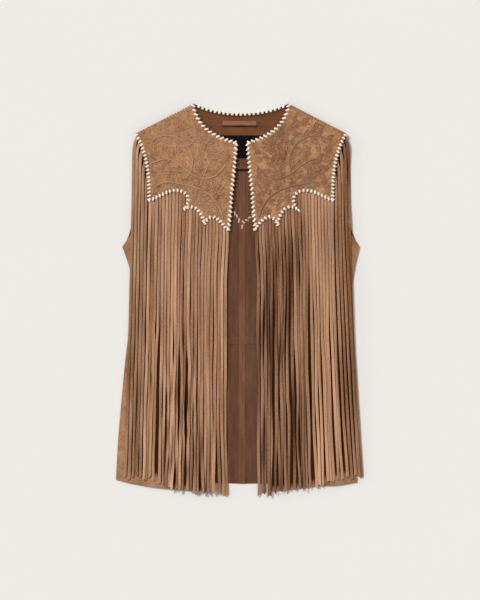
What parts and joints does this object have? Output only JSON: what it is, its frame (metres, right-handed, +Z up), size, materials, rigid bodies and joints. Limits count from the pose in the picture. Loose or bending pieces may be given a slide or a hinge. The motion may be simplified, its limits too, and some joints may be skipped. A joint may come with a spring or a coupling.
{
  "type": "fringe vest",
  "caption": "Sleeveless suede vest laid flat, open down the front, with scalloped yokes, whip-stitched lace edges and long cut fringe over both fronts.",
  "frame": {"origin": "on the surface that the vest lies on, under the middle of its bounding box", "axes": "+X to the right of a viewer looking down at the chest, +Y towards the neck, +Z up out of the chest"},
  "size_m": [0.433, 0.6872, 0.0121],
  "materials": {
    "suede_face": "tan suede, brushed nap, matte",
    "suede_inside": "darker brown inner suede, matte",
    "fringe": "cut suede strands with raw edges, matte",
    "lace": "off-white leather lace, satin",
    "embroidery": "tone-on-tone brown thread",
    "label": "plain black woven tape"
  },
  "bodies": {
    "root": {"back_yoke": "suede_face", "back_upper_left": "suede_inside", "back_lower_left": "suede_inside", "back_upper_right": "suede_inside", "back_lower_right": "suede_inside", "neck_facing": "suede_inside", "neck_label": "label", "hanging_loop": "suede_inside", "front_left": "suede_face", "fringe_left": "fringe", "yoke_left": "suede_face", "front_right": "suede_face", "fringe_right": "fringe", "yoke_right": "suede_face"}
  },
  "joints": []
}
